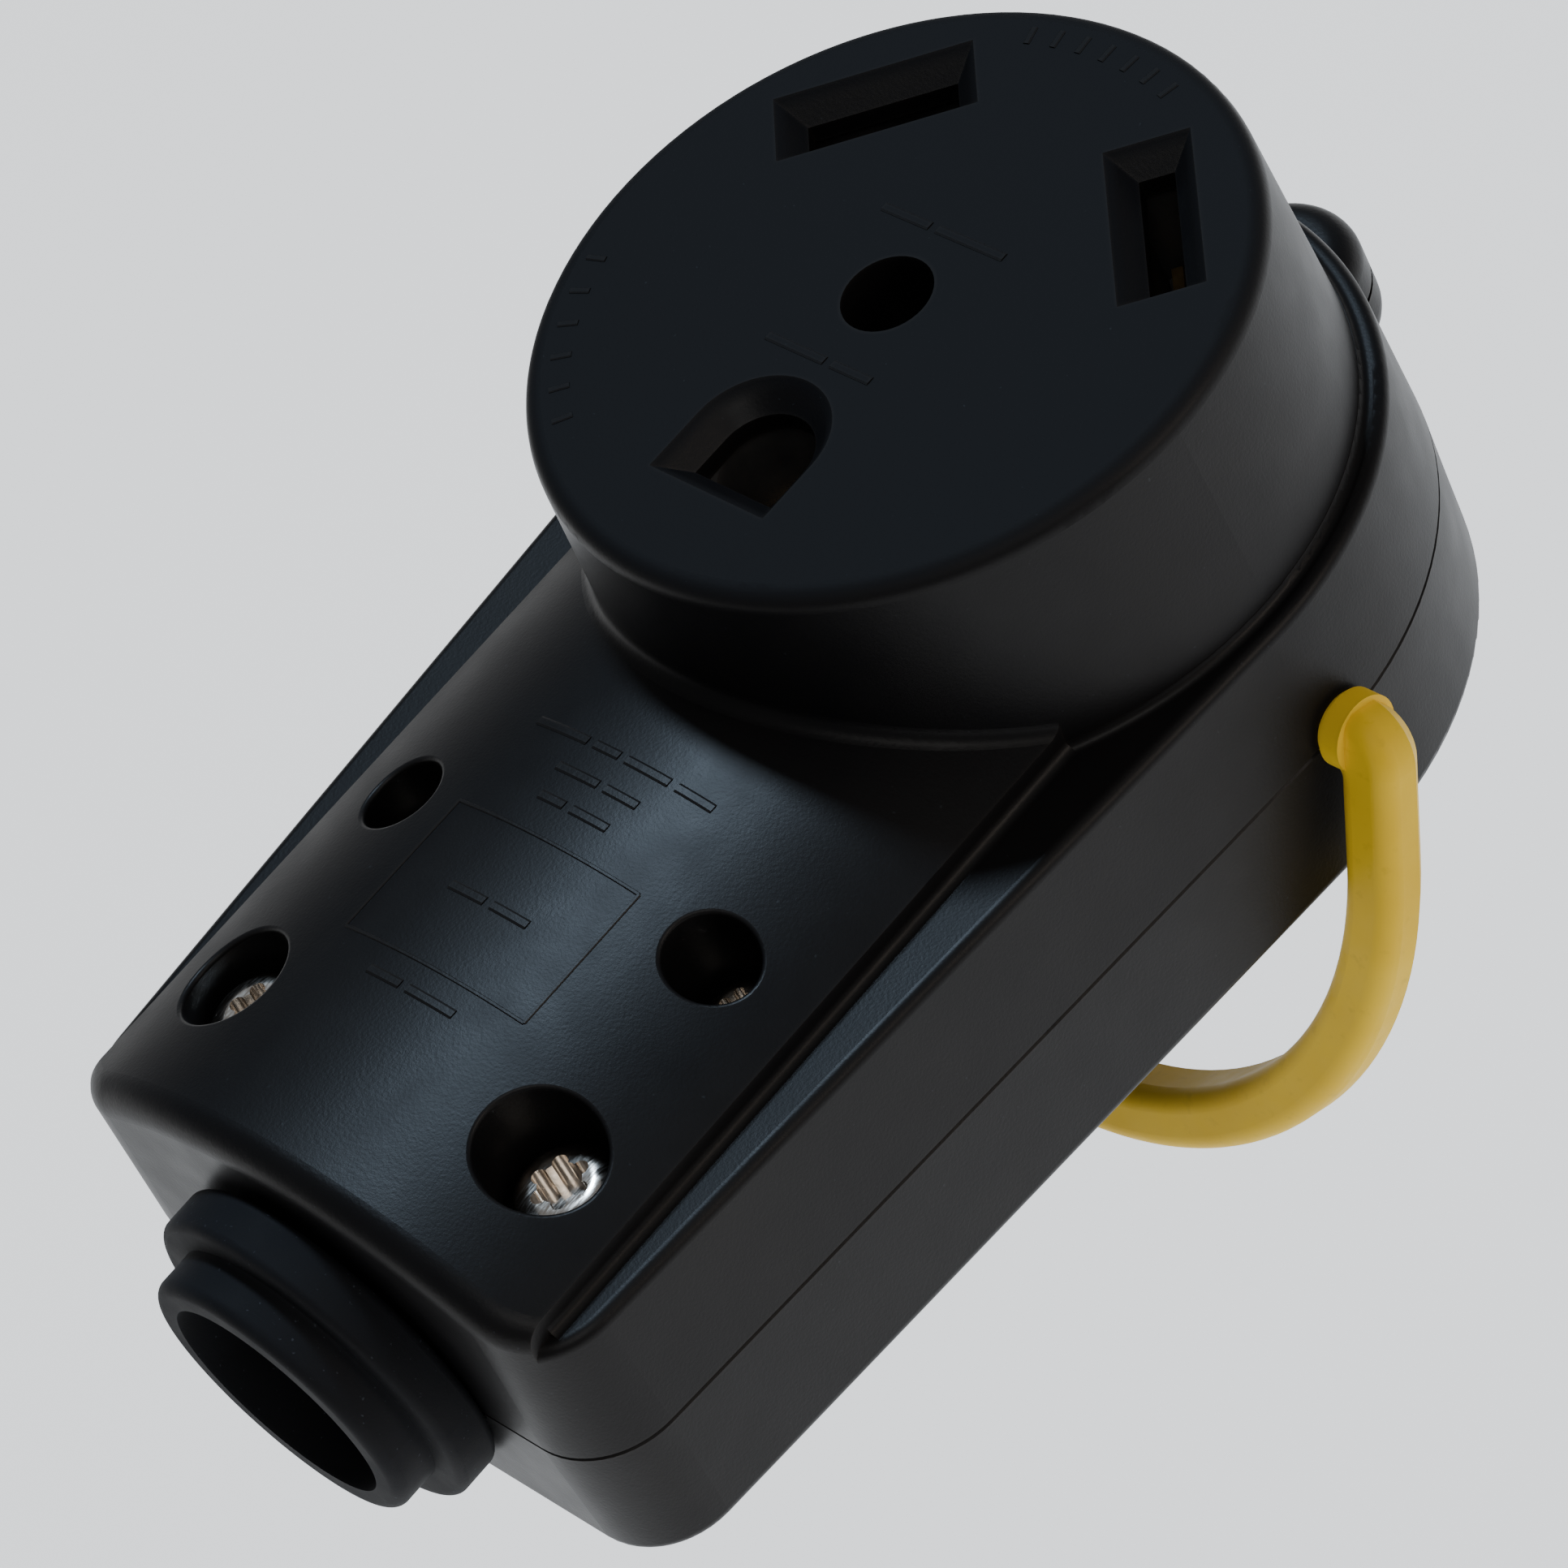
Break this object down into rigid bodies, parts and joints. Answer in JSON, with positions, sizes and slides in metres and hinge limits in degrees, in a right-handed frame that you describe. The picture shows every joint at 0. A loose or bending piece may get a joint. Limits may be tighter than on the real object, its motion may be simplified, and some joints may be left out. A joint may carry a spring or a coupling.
{
  "type": "cord connector with pull handle",
  "caption": "Cable-end power socket: round face with angled blade slots and a D-shaped ground hole, tapered two-part black body, cord grommet and a swinging yellow pull handle.",
  "frame": {"origin": "on the flat rear face, under the centre of the round socket", "axes": "+Z out of the socket face, -Y towards the cord, X along the handle's hinge"},
  "size_m": [0.0688, 0.1123, 0.0708],
  "materials": {
    "black_plastic": "satin moulded thermoplastic with a fine spark texture",
    "black_rubber": "dull moulded rubber with fine dust",
    "clamp_nylon": "moulded glass-filled nylon",
    "yellow_plastic": "satin moulded plastic, safety yellow",
    "nickel_screw": "bright nickel-plated steel",
    "brass_insert": "turned brass",
    "carrier_resin": "moulded phenolic resin",
    "zinc_steel": "zinc-plated steel",
    "contact_brass": "stamped brass strip",
    "spring_steel": "stainless spring strip",
    "terminal_brass": "brass screw",
    "ground_green": "green-dyed steel screw"
  },
  "bodies": {
    "connector": {"front_housing_head": "black_plastic", "front_housing_tail": "black_plastic", "rear_housing": "black_plastic", "cord_grommet": "black_rubber", "upper_cord_clamp": "clamp_nylon", "lower_cord_clamp": "clamp_nylon", "tail_screws": "nickel_screw", "middle_screws": "nickel_screw", "face_screw": "nickel_screw", "tail_inserts": "brass_insert", "middle_inserts": "brass_insert", "face_insert": "brass_insert", "contact_carrier": "carrier_resin", "contact_retainer": "carrier_resin", "carrier_screws": "zinc_steel", "neutral_contact": "contact_brass", "hot_contact": "contact_brass", "ground_contact": "contact_brass", "neutral_jaw_spring": "spring_steel", "hot_jaw_spring": "spring_steel", "neutral_terminal_screw": "zinc_steel", "hot_terminal_screw": "terminal_brass", "ground_terminal_screw": "ground_green", "terminal_clamp_plates": "zinc_steel"},
    "handle": {"pull_handle": "yellow_plastic"}
  },
  "joints": [
    {"name": "handle_swing", "type": "hinge", "parent": "connector", "child": "handle", "pos_m": [0, 0, 0.0116], "axis": [1, 0, 0], "range_deg": [-30, 150]}
  ]
}
